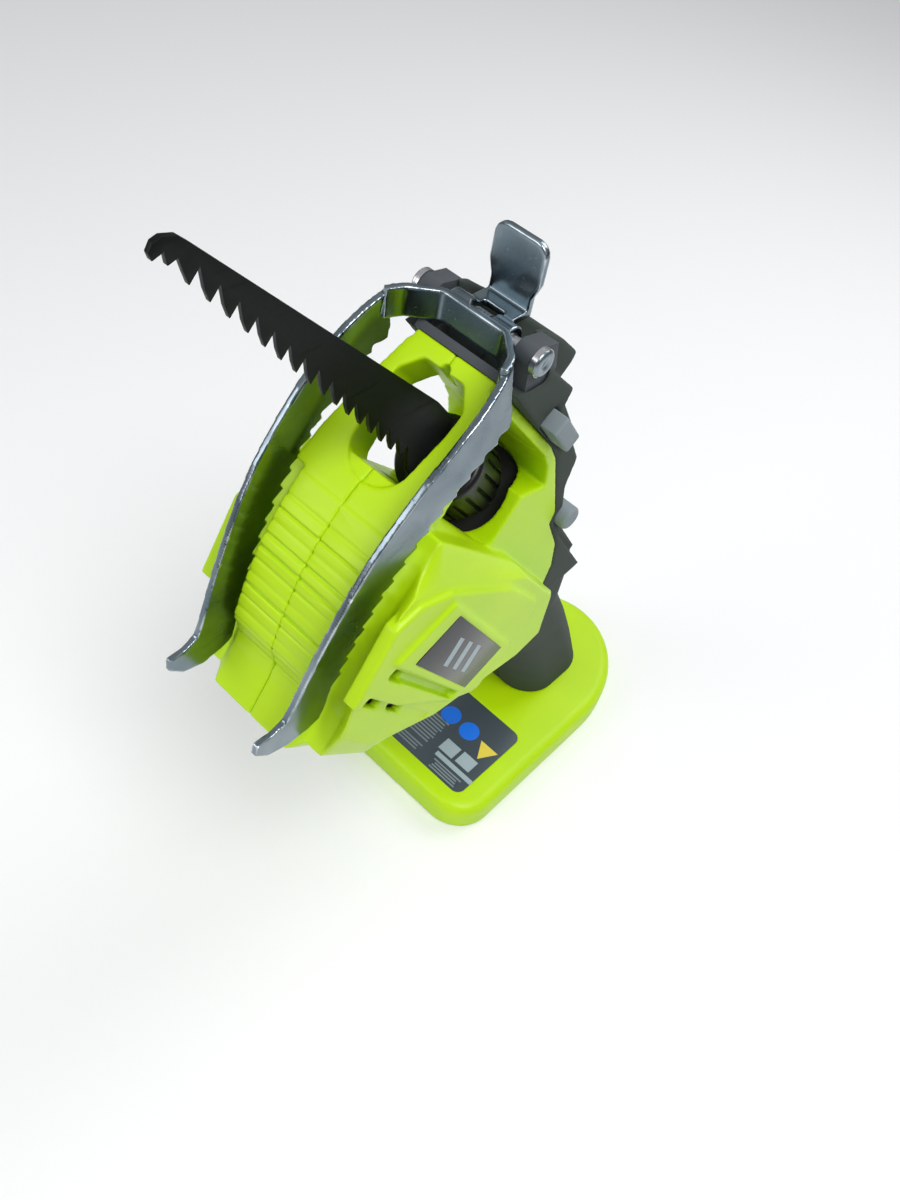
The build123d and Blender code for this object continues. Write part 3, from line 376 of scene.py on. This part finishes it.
# The zinc's near-white last colour is a painted glint on the jaw's sharp edges.
ZINC = Metal("zinc_plate", (0.22, 0.27, 0.30), (0.10, 0.14, 0.17), 0.16, 0.35, 0.7, 0.00003, 1.0, 0.0,
             (0.80, 0.86, 0.90), 1.0)
RIVET = Metal("rivet_steel", (0.26, 0.31, 0.34), (0.14, 0.18, 0.21), 0.22, 0.3, 0.6, 0.00003)
STEEL = Metal("ground_steel", (0.55, 0.55, 0.56), (0.42, 0.42, 0.44), 0.26, 0.8, 0.4, 0.00005)
BRONZE = Metal("sintered_bronze", (0.50, 0.31, 0.12), (0.36, 0.22, 0.09), 0.42, 0.2, 0.8, 0.00008)
ALLOY = Metal("cast_alloy", (0.52, 0.53, 0.55), (0.42, 0.43, 0.45), 0.48, 0.1, 0.9, 0.00012)
BRASS = Metal("contact_brass", (0.78, 0.55, 0.22), (0.62, 0.42, 0.16), 0.25, 0.6, 0.4, 0.00004)


# ------------------------------------------------------------------ mesh tools
def adopt(name: str, mesh: bpy.types.Mesh, finish: Moulded | Metal, body: str) -> bpy.types.Object:
    """Make a mesh into a dressed piece that rides on a body.

    Args:
        name: The piece's name.
        mesh: Its mesh, in row-frame metres.
        finish: What it is made of.
        body: The CAD body that it moves with.

    Returns:
        The new object.
    """
    mesh.name = name
    mesh.materials.clear()
    mesh.materials.append(finish.material())
    piece = bpy.data.objects.new(name, mesh)
    bpy.context.scene.collection.objects.link(piece)
    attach(piece, body)
    LOG.info("%s: %d faces on %s", name, len(mesh.polygons), body)
    return piece


def mesh_from(shape: bmesh.types.BMesh, smooth_angle: float = 35.0) -> bpy.types.Mesh:
    """Write a bmesh to a mesh, with edges sharper than smooth_angle degrees left crisp."""
    bmesh.ops.recalc_face_normals(shape, faces=shape.faces)
    mesh = bpy.data.meshes.new("piece")
    shape.to_mesh(mesh)
    shape.free()
    mesh.shade_smooth()
    mesh.set_sharp_from_angle(angle=math.radians(smooth_angle))
    return mesh


def merged_copy(node: str) -> bpy.types.Mesh:
    """Copy of a CAD node's mesh with its loose triangles joined up."""
    shape = bmesh.new()
    shape.from_mesh(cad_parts[node].data)
    bmesh.ops.remove_doubles(shape, verts=shape.verts, dist=2e-6)
    mesh = bpy.data.meshes.new(node + "_copy")
    shape.to_mesh(mesh)
    shape.free()
    return mesh


def settled(
    mesh: bpy.types.Mesh, modifiers: Sequence[tuple[str, dict]], group: Sequence[float] | None = None
) -> bpy.types.Mesh:
    """Run modifiers over a mesh and keep the result.

    Args:
        mesh: The mesh to start from.
        modifiers: Modifier types with their settings, in order.
        group: Weight of each vertex in a vertex group named "soft", or None.

    Returns:
        The new mesh.
    """
    holder = bpy.data.objects.new("holder", mesh)
    bpy.context.scene.collection.objects.link(holder)
    if group is not None:
        soft = holder.vertex_groups.new(name="soft")
        for index, weight in enumerate(group):
            soft.add([index], weight, "REPLACE")
    for kind, settings in modifiers:
        modifier = holder.modifiers.new(kind, kind)
        for name, value in settings.items():
            setattr(modifier, name, value)
    depsgraph = bpy.context.evaluated_depsgraph_get()
    result = bpy.data.meshes.new_from_object(holder.evaluated_get(depsgraph))
    bpy.data.objects.remove(holder)
    bpy.data.meshes.remove(mesh)
    return result


@dataclass
class SoftShell:
    """A moulded or pressed CAD node whose edges and facets are rounded as the real part's are."""

    node: str
    finish: Moulded | Metal
    body: str
    slot: str
    voxel: float = 0.65
    rounds: int = 10
    crisp_rounds: int = 2
    crisp: Callable[[Vector], float] | None = None
    limit: int = 190_000

    def build(self) -> bpy.types.Object:
        """Remesh the node's copy finely, relax it, and let it stand for the node."""
        mesh = settled(merged_copy(self.node), [("REMESH", {"mode": "VOXEL", "voxel_size": self.voxel * MM})])
        weights = None
        if self.crisp:
            weights = [1.0 - self.crisp(vertex.co) for vertex in mesh.vertices]
        steps: list[tuple[str, dict]] = [("SMOOTH", {"factor": 0.5, "iterations": self.crisp_rounds})]
        relax = {"factor": 0.5, "iterations": self.rounds}
        if weights:
            relax["vertex_group"] = "soft"
        steps.append(("SMOOTH", relax))
        triangles = 2 * len(mesh.polygons)
        if triangles > self.limit:
            steps.append(("DECIMATE", {"ratio": self.limit / triangles}))
        mesh = settled(mesh, steps, weights)
        mesh.shade_smooth()
        piece = adopt(self.node + "_moulded", mesh, self.finish, self.body)
        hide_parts(self.node)
        return piece


@dataclass
class BevelledNode:
    """A CAD node kept as it is, with its sharp edges broken by a small bevel."""

    node: str
    finish: Moulded | Metal
    body: str
    slot: str
    width: float = 0.4
    segments: int = 2

    def build(self) -> bpy.types.Object:
        """Join, simplify and bevel the node's copy, and let it stand for the node."""
        shape = bmesh.new()
        source = merged_copy(self.node)
        shape.from_mesh(source)
        bpy.data.meshes.remove(source)
        bmesh.ops.dissolve_limit(
            shape, angle_limit=math.radians(2.0), verts=shape.verts, edges=shape.edges, delimit={"NORMAL"}
        )
        sharp = [edge for edge in shape.edges if edge.is_manifold and edge.calc_face_angle(0.0) > math.radians(32)]
        bmesh.ops.bevel(
            shape, geom=sharp, offset=self.width * MM, offset_type="OFFSET", affect="EDGES", segments=self.segments,
            profile=0.5, material=-1, clamp_overlap=True,
        )
        bmesh.ops.triangulate(shape, faces=[face for face in shape.faces if len(face.verts) > 4])
        piece = adopt(self.node + "_finished", mesh_from(shape), self.finish, self.body)
        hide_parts(self.node)
        return piece


def dress_node(node: str, finish: Moulded | Metal) -> None:
    """Give a CAD node that stays its material."""
    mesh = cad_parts[node].data
    mesh.materials.clear()
    mesh.materials.append(finish.material())
    LOG.info("%s keeps its CAD mesh", node)


# ------------------------------------------------------------------ sub-assemblies
@dataclass
class Clamshell:
    """The lime housing halves and the dark overmould on the spine and grip."""

    voxel: float = 0.5
    nose: tuple[float, float] = (-17.0, -62.0)
    bars: tuple[float, ...] = (-138.0, -146.0, -154.0)
    bar_middle: float = -33.0
    bar_width: float = 3.4
    bar_height: float = 9.5
    bar_slant: float = 3.0
    bar_depth: float = 0.06

    def rib_zone(self, place: Vector) -> float:
        """How much a place of the housing keeps its crisp ribs, 0 to 1."""
        offset = place - BLADE_TIP
        s = offset.dot(ALONG) / MM
        t = offset.dot(DORSAL) / MM
        on_nose = self.nose[1] < t < self.nose[0] and abs(place.y) < 0.0155 and s > -118
        return 1.0 if on_nose else 0.0

    def badge_bars(self, side: str) -> bpy.types.Object:
        """Three plain slanted bars printed on a badge, so that it isn't blank."""
        flank = 1 if side == "left" else -1
        low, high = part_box(f"badge_{side}")
        face = max(abs(low[1]), abs(high[1])) - 0.01 * MM
        shape = bmesh.new()
        for s in self.bars:
            across = ALONG * self.bar_width * MM
            rise = (DORSAL * self.bar_height + ALONG * self.bar_slant) * MM
            out = Vector((0, flank, 0))
            middle = at(s, self.bar_middle)
            middle.y = flank * face
            place = Matrix((across, rise, out)).transposed().to_4x4()
            place.translation = middle
            bmesh.ops.create_grid(shape, x_segments=1, y_segments=1, size=0.5, matrix=place)
        lifted = bmesh.ops.extrude_face_region(shape, geom=list(shape.faces))["geom"]
        tops = [item for item in lifted if isinstance(item, bmesh.types.BMVert)]
        bmesh.ops.translate(shape, vec=(0, flank * self.bar_depth * MM, 0), verts=tops)
        return adopt(f"badge_bars_{side}", mesh_from(shape), PRINT_LIGHT, "body")

    def build(self) -> None:
        """Build both halves of both shells."""
        for side in ("left", "right"):
            SoftShell(f"housing_{side}", LIME, "body", "lime_plastic", self.voxel, 12, 0, self.rib_zone).build()
            SoftShell(f"overmould_{side}", OVERMOULD, "body", "dark_overmould", 0.55, 12, 2).build()
            dress_node(f"vent_screen_{side}", SCREEN)
            BevelledNode(f"badge_{side}", GLOSS_BADGE, "body", "badge_gloss", 0.12).build()
            self.badge_bars(side)


@dataclass
class BranchJaw:
    """The pressed jaw, its bracket, pin and spring."""

    pin: Vector = field(default_factory=lambda: at(-92.8, 37.8))
    head_radius: float = 3.8
    head_half: float = 20.0

    def rivet(self, flank: int) -> bpy.types.Object:
        """Domed and dimpled rivet head at one end of the hinge pin."""
        shape = bmesh.new()
        profile = [
            (0.0, 0.35), (1.1, 0.35), (1.5, 0.75), (2.9, 0.7), (3.5, 0.35), (3.75, -0.3), (3.75, -1.4), (0.0, -1.4),
        ]
        points = [shape.verts.new((radius * MM, height * MM, 0.0)) for radius, height in profile]
        edges = [shape.edges.new(pair) for pair in zip(points, points[1:])]
        bmesh.ops.spin(
            shape, geom=points + edges, axis=(0, 1, 0), cent=(0, 0, 0), dvec=(0, 0, 0), angle=2 * math.pi, steps=40,
            use_merge=True,
        )
        bmesh.ops.remove_doubles(shape, verts=shape.verts, dist=1e-6)
        bmesh.ops.scale(shape, vec=(1, flank, 1), verts=shape.verts)
        bmesh.ops.translate(shape, vec=self.pin + Vector((0, flank * self.head_half * MM, 0)), verts=shape.verts)
        name = "pin_head_left" if flank > 0 else "pin_head_right"
        return adopt(name, mesh_from(shape, 50), RIVET, "body")

    def spring(self) -> bpy.types.Object:
        """Torsion spring round the pin, with a leg against the bridge and one down to the bracket."""
        turns, steps, radius, half = 5, 16, 2.5, 2.5
        curve = bpy.data.curves.new("spring_route", "CURVE")
        curve.dimensions = "3D"
        curve.bevel_depth = 0.34 * MM
        curve.bevel_resolution = 3
        curve.use_fill_caps = True
        points = [Vector((2.2, -half, 5.6)), Vector((2.5, -half, 2.5))]
        for step in range(turns * steps + 1):
            turn = 2 * math.pi * step / steps
            along = half * (2 * step / (turns * steps) - 1)
            points.append(Vector((radius * math.cos(turn), along, radius * math.sin(turn))))
        points += [Vector((2.5, half, -2.4)), Vector((1.4, half, -4.8))]
        line = curve.splines.new("POLY")
        line.points.add(len(points) - 1)
        for target, point in zip(line.points, points):
            target.co = (*(self.pin + point * MM), 1.0)
        holder = bpy.data.objects.new("spring_route", curve)
        bpy.context.scene.collection.objects.link(holder)
        mesh = bpy.data.meshes.new_from_object(holder.evaluated_get(bpy.context.evaluated_depsgraph_get()))
        bpy.data.objects.remove(holder)
        bpy.data.curves.remove(curve)
        mesh.shade_smooth()
        piece = adopt("jaw_spring_wound", mesh, STEEL, "body")
        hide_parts("jaw_spring")
        return piece

    def build(self) -> None:
        """Build the jaw and its hinge."""
        SoftShell("jaw_frame", ZINC, "jaw", "zinc_steel", 0.36, 4, 0).build()
        BevelledNode("jaw_bracket", SLATE, "body", "slate_bracket", 0.5, 3).build()
        dress_node("hinge_pin", STEEL)
        self.spring()
        for flank in (1, -1):
            self.rivet(flank)


@dataclass
class CuttingHead:
    """The blade, its quick clamp and the boot behind it."""

    def build(self) -> None:
        """Build the parts that move with the plunger, and the boot."""
        BevelledNode("blade", BLADE_BLACK, "plunger", "blade_steel", 0.16, 2).build()
        BevelledNode("clamp_collar", BLACK, "collar", "black_plastic", 0.3, 2).build()
        BevelledNode("clamp_hub", STEEL, "plunger", "bright_steel", 0.25, 2).build()
        dress_node("clamp_pin", STEEL)
        dress_node("plunger", STEEL)
        dress_node("scotch_yoke", STEEL)
        BevelledNode("shaft_boot", BOOT, "body", "boot_rubber", 0.3, 2).build()


@dataclass
class Foot:
    """The battery foot and the printed film on it."""

    film_middle: tuple[float, float] = (35.5, 0.0)
    film_top: float = 14.0
    print_depth: float = 0.06

    def patch(
        self, name: str, finish: Moulded, shapes: Iterable[Callable[[bmesh.types.BMesh], list]]
    ) -> bpy.types.Object:
        """Thin printed patches on the film.

        Args:
            name: The piece's name.
            finish: The ink.
            shapes: Makers that each add one flat face set and return its vertices.

        Returns:
            The piece.
        """
        shape = bmesh.new()
        for make in shapes:
            make(shape)
        faces = list(shape.faces)
        lifted = bmesh.ops.extrude_face_region(shape, geom=faces)["geom"]
        tops = [item for item in lifted if isinstance(item, bmesh.types.BMVert)]
        bmesh.ops.translate(shape, vec=(0, 0, self.print_depth * MM), verts=tops)
        return adopt(name, mesh_from(shape), finish, "body")

    def disc(self, x: float, y: float, radius: float) -> Callable[[bmesh.types.BMesh], list]:
        """Maker of a printed disc centred on the film at x, y (mm)."""
        def make(shape: bmesh.types.BMesh) -> list:
            place = Matrix.Translation(self.on_film(x, y))
            made = bmesh.ops.create_circle(shape, cap_ends=True, segments=40, radius=radius * MM, matrix=place)
            return made["verts"]
        return make

    def bar(self, x: float, y: float, width: float, depth: float) -> Callable[[bmesh.types.BMesh], list]:
        """Maker of a printed bar, width along X and depth along Y (mm)."""
        def make(shape: bmesh.types.BMesh) -> list:
            stretch = Matrix.Diagonal((width * MM, depth * MM, 1.0, 1.0))
            place = Matrix.Translation(self.on_film(x, y)) @ stretch
            return bmesh.ops.create_grid(shape, x_segments=1, y_segments=1, size=0.5, matrix=place)["verts"]
        return make

    def triangle(self, x: float, y: float, radius: float) -> Callable[[bmesh.types.BMesh], list]:
        """Maker of a plain printed triangle."""
        def make(shape: bmesh.types.BMesh) -> list:
            place = Matrix.Translation(self.on_film(x, y)) @ Matrix.Rotation(math.radians(-90), 4, "Z")
            return bmesh.ops.create_circle(shape, cap_ends=True, segments=3, radius=radius * MM, matrix=place)["verts"]
        return make

    def on_film(self, x: float, y: float) -> Vector:
        """Place on the film's face, from its middle, in mm."""
        return Vector(((self.film_middle[0] + x) * MM, (self.film_middle[1] + y) * MM, (self.film_top - 0.01) * MM))

    def build(self) -> None:
        """Build the foot, its film and the print."""
        SoftShell("foot_shell", LIME, "body", "lime_plastic", 0.7, 6, 1).build()
        dress_node("foot_label", FILM)
        self.patch("label_discs", PRINT_BLUE, [self.disc(-6.0, -1.3, 4.5), self.disc(-5.8, 9.5, 4.5)])
        self.patch("label_triangle", PRINT_YELLOW, [self.triangle(-3.7, 20.8, 5.4)])
        blocks = [self.bar(6.6, 9.6, 6.4, 7.6), self.bar(6.2, 18.8, 6.4, 7.6), self.bar(12.2, 17.0, 2.2, 20.0)]
        self.patch("label_blocks", PRINT_LIGHT, blocks)
        lines = [self.bar(-1.5 + 1.6 * row, -6.0, 0.75, 15.0 - (row * 5) % 3) for row in range(9)]
        lines += [self.bar(15.0 + 1.3 * row, 16.0, 0.65, 15.0 - (row * 7) % 4) for row in range(4)]
        lines += [self.bar(14.5 + 1.5 * row, -9.0, 0.7, 20.0 - (row * 3) % 4) for row in range(3)]
        self.patch("label_lines", PRINT_DIM, lines)


@dataclass
class Controls:
    """Trigger, lock-off, release slide and what lies in the grip."""

    def build(self) -> None:
        """Build the controls and dress the parts inside the grip."""
        BevelledNode("trigger", BLACK, "trigger", "black_plastic", 0.4, 3).build()
        BevelledNode("lock_off_button", GREY_SLIDE, "lock_button", "black_plastic", 0.3, 2).build()
        BevelledNode("release_slide", GREY_SLIDE, "release", "grey_slide", 0.4, 3).build()
        for node, finish in (
            ("switch_module", BLACK), ("terminal_block", BLACK), ("trigger_spring", STEEL),
            ("battery_contacts", BRASS), ("control_board", BOARD_GREEN), ("battery_leads", SHEATH),
        ):
            dress_node(node, finish)


@dataclass
class Drive:
    """Motor, gear and bearings inside the housing, and the screws that close it."""

    head_posts: tuple[tuple[float, float], ...] = ((-127.3, -71.3), (-177.0, -50.0), (-204.5, -13.0), (-106.0, -16.0))
    grip_posts: tuple[tuple[float, float], ...] = ((10.0, 113.0), (2.0, 52.0))
    head_depth: float = 22.2
    grip_depth: float = 13.7
    head_radius: float = 3.2
    rim: float = 0.7
    rim_drop: float = 0.6
    standing: float = 0.4
    recess_lobes: int = 6
    recess_radius: float = 1.55
    recess_waist: float = 0.72
    recess_depth: float = 1.3

    def screw_head(self, name: str, place: Vector) -> bpy.types.Object:
        """Pan head with a six-lobed recess, its face turned to the tool's right.

        Args:
            name: The piece's name.
            place: Middle of the head's face, in metres.

        Returns:
            The piece.
        """
        shape = bmesh.new()
        ring = bmesh.ops.create_circle(
            shape, cap_ends=True, segments=2 * self.recess_lobes, radius=self.recess_radius * MM
        )["verts"]
        for vertex in ring[1::2]:
            vertex.co *= self.recess_waist
        recess = shape.faces[:]
        rims = [edge for edge in shape.edges if edge.is_boundary]
        outer = bmesh.ops.extrude_edge_only(shape, edges=rims)["geom"]
        outer_verts = [item for item in outer if isinstance(item, bmesh.types.BMVert)]
        for vertex in outer_verts:
            vertex.co = vertex.co.normalized() * (self.head_radius - self.rim) * MM
        skirt = bmesh.ops.extrude_edge_only(shape, edges=[e for e in shape.edges if e.is_boundary])["geom"]
        for vertex in (item for item in skirt if isinstance(item, bmesh.types.BMVert)):
            vertex.co = vertex.co.normalized() * self.head_radius * MM
            vertex.co.z = -self.rim_drop * MM
        floor = bmesh.ops.extrude_face_region(shape, geom=recess)["geom"]
        bmesh.ops.delete(shape, geom=recess, context="FACES_ONLY")
        bmesh.ops.translate(
            shape, vec=(0, 0, -self.recess_depth * MM),
            verts=[item for item in floor if isinstance(item, bmesh.types.BMVert)],
        )
        bmesh.ops.translate(shape, vec=(0, 0, self.standing * MM), verts=shape.verts)
        bmesh.ops.rotate(shape, matrix=Matrix.Rotation(math.radians(90), 3, "X"), verts=shape.verts)
        bmesh.ops.translate(shape, vec=place, verts=shape.verts)
        return adopt(name, mesh_from(shape, 30), STEEL, "body")

    def build(self) -> None:
        """Dress the drive's CAD nodes and finish the screws."""
        for node, finish in (
            ("gear_case", ALLOY), ("front_bush", BRONZE), ("rear_bush", BRONZE), ("crank_gear", STEEL),
            ("crank_pin", STEEL), ("gear_axle", STEEL), ("bearing_plate", STEEL), ("motor_can", STEEL),
            ("motor_bearing", STEEL), ("motor_magnets", FERRITE), ("rotor", STEEL), ("motor_pinion", STEEL),
            ("motor_end_cap", BLACK), ("cooling_fan", BLACK), ("housing_screws", STEEL),
        ):
            dress_node(node, finish)
        for number, (s, t) in enumerate(self.head_posts):
            self.screw_head(f"screw_head_{number}", at(s, t, -self.head_depth))
        for number, (x, z) in enumerate(self.grip_posts):
            self.screw_head(f"grip_screw_head_{number}", Vector((x, -self.grip_depth, z)) * MM)


# ------------------------------------------------------------------ studio
@dataclass
class Studio:
    """Pale floor, soft light and the camera."""

    camera_place: Vector = field(default_factory=lambda: Vector((0.23974, 0.11851, 0.37542)))
    camera_right: Vector = field(default_factory=lambda: Vector((-0.673, 0.724, 0.150)))
    camera_up: Vector = field(default_factory=lambda: Vector((-0.502, -0.596, 0.627)))
    lens: float = 30.03

    def floor(self) -> None:
        """Plain pale floor."""
        shape = bmesh.new()
        bmesh.ops.create_grid(shape, x_segments=1, y_segments=1, size=3.0)
        mesh = bpy.data.meshes.new("floor")
        shape.to_mesh(mesh)
        shape.free()
        material = bpy.data.materials.new("floor_paper")
        material.use_nodes = True
        board = Board(material.node_tree)
        shader = board.add("BsdfPrincipled", {"Base Color": (0.86, 0.86, 0.86), "Roughness": 0.8})
        board.add("OutputMaterial", {"Surface": shader.outputs[0]})
        mesh.materials.append(material)
        plane = bpy.data.objects.new("floor", mesh)
        bpy.context.scene.collection.objects.link(plane)

    def sky(self) -> None:
        """Soft pale surround that darkens towards the horizon, so that metal has something to show."""
        world = bpy.data.worlds.new("surround")
        bpy.context.scene.world = world
        world.use_nodes = True
        board = Board(world.node_tree)
        direction = board.add("TexCoord").outputs["Generated"]
        height = board.add("SeparateXYZ", {0: direction}).outputs["Z"]
        shade = board.blend(board.ramp(height, -0.1, 0.7), (0.12, 0.13, 0.14), (0.95, 0.97, 1.0))
        background = board.add("Background", {"Color": shade, "Strength": 0.55})
        board.add("OutputWorld", {"Surface": background.outputs[0]})

    def lamp(self, name: str, place: Vector, size: float, power: float) -> None:
        """Square soft light aimed at the tool."""
        light = bpy.data.lights.new(name, "AREA")
        light.size = size
        light.energy = power
        lamp = bpy.data.objects.new(name, light)
        aim = (Vector((0.04, 0.0, 0.14)) - place).to_track_quat("-Z", "Y")
        lamp.matrix_world = Matrix.Translation(place) @ aim.to_matrix().to_4x4()
        bpy.context.scene.collection.objects.link(lamp)

    def camera(self) -> None:
        """Camera above the tool's front left, with plain colour response."""
        bpy.context.scene.view_settings.view_transform = "Standard"
        across = self.camera_right.normalized()
        back = across.cross(self.camera_up).normalized()
        up = back.cross(across)
        lens = bpy.data.cameras.new("camera")
        lens.lens = self.lens
        lens.sensor_width = 36.0
        lens.clip_start = 0.01
        camera = bpy.data.objects.new("camera", lens)
        turn = Matrix((across, up, back)).transposed().to_4x4()
        camera.matrix_world = Matrix.Translation(self.camera_place) @ turn
        bpy.context.scene.collection.objects.link(camera)
        bpy.context.scene.camera = camera

    def build(self) -> None:
        """Set the stage."""
        self.floor()
        self.sky()
        self.lamp("key", Vector((0.25, 0.45, 1.0)), 0.45, 6.0)
        self.lamp("fill", Vector((0.85, -0.35, 0.55)), 0.5, 2.5)
        self.lamp("back", Vector((-0.6, 0.1, 0.8)), 0.5, 3.0)
        self.camera()


def main() -> None:
    """Build every sub-assembly."""
    logging.basicConfig(level=logging.INFO, format="%(message)s")
    Studio().build()
    for part in (Clamshell(), BranchJaw(), CuttingHead(), Foot(), Controls(), Drive()):
        part.build()


if __name__ == "__main__":
    main()
